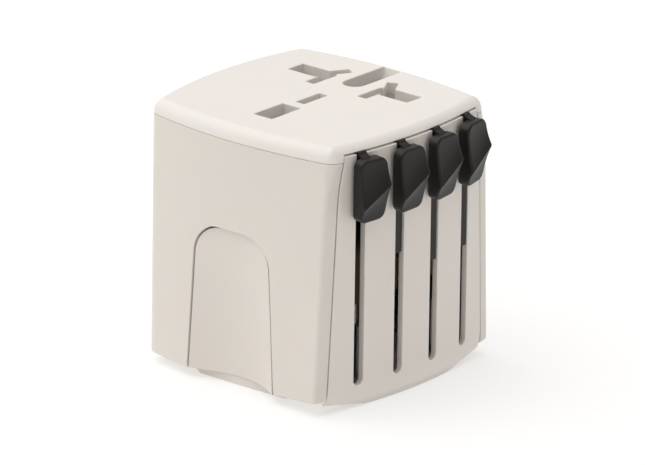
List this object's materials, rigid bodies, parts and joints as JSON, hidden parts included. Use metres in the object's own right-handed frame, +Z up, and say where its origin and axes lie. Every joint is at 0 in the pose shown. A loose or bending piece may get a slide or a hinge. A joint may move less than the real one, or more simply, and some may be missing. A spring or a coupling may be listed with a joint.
{
  "type": "universal travel adapter",
  "caption": "Cube-shaped travel adapter with an overlaid multi-standard socket on top and sliding plug sets that drop out of its base, each driven by a black knob.",
  "frame": {"origin": "centre of the base platform's underside", "axes": "+Z up to the socket face, -Y out of the slider face, -X and +X out of the two grip faces"},
  "size_m": [0.0482, 0.0546, 0.0518],
  "materials": {
    "cover_plastic": "fine satin texture, warm white",
    "shell_plastic": "fine satin texture, warm light grey",
    "panel_plastic": "fine satin texture, warm light grey",
    "socket_plastic": "smooth moulded white",
    "knob_plastic": "black, finely ribbed scoop",
    "carriage_plastic": "black moulded",
    "insulator_plastic": "black semi-gloss",
    "plated_brass": "nickel plated, satin",
    "contact_brass": "stamped brass",
    "spring_steel": "rolled spring steel",
    "screw_steel": "zinc plated"
  },
  "bodies": {
    "casing": {"top_cover": "cover_plastic", "housing": "shell_plastic", "slider_panel": "panel_plastic", "base_plate": "shell_plastic", "left_grip": "shell_plastic", "right_grip": "shell_plastic", "socket_block": "socket_plastic", "live_contact": "contact_brass", "neutral_contact": "contact_brass", "live_busbar": "contact_brass", "neutral_busbar": "contact_brass", "case_screws": "screw_steel", "europe_detent": "spring_steel", "uk_detent": "spring_steel", "us_detent": "spring_steel", "au_detent": "spring_steel"},
    "europe_plug": {"europe_knob": "knob_plastic", "europe_carriage": "carriage_plastic", "europe_block": "carriage_plastic", "europe_pin_left": "plated_brass", "europe_pin_right": "plated_brass", "europe_sleeve_left": "insulator_plastic", "europe_sleeve_right": "insulator_plastic"},
    "uk_plug": {"uk_knob": "knob_plastic", "uk_carriage": "carriage_plastic", "uk_pin_left": "plated_brass", "uk_pin_right": "plated_brass", "uk_sleeve_left": "insulator_plastic", "uk_sleeve_right": "insulator_plastic", "uk_earth_pin": "insulator_plastic"},
    "us_plug": {"us_knob": "knob_plastic", "us_carriage": "carriage_plastic", "us_blade_left": "plated_brass", "us_blade_right": "plated_brass"},
    "au_plug": {"au_knob": "knob_plastic", "au_carriage": "carriage_plastic", "au_blade_left": "plated_brass", "au_blade_right": "plated_brass"}
  },
  "joints": [
    {"name": "europe_plug_slide", "type": "slide", "parent": "casing", "child": "europe_plug", "axis": [0, 0, -1], "range_m": [0, 0.032]},
    {"name": "uk_plug_slide", "type": "slide", "parent": "casing", "child": "uk_plug", "axis": [0, 0, -1], "range_m": [0, 0.023]},
    {"name": "us_plug_slide", "type": "slide", "parent": "casing", "child": "us_plug", "axis": [0, 0, -1], "range_m": [0, 0.019]},
    {"name": "au_plug_slide", "type": "slide", "parent": "casing", "child": "au_plug", "axis": [0, 0, -1], "range_m": [0, 0.019]}
  ]
}
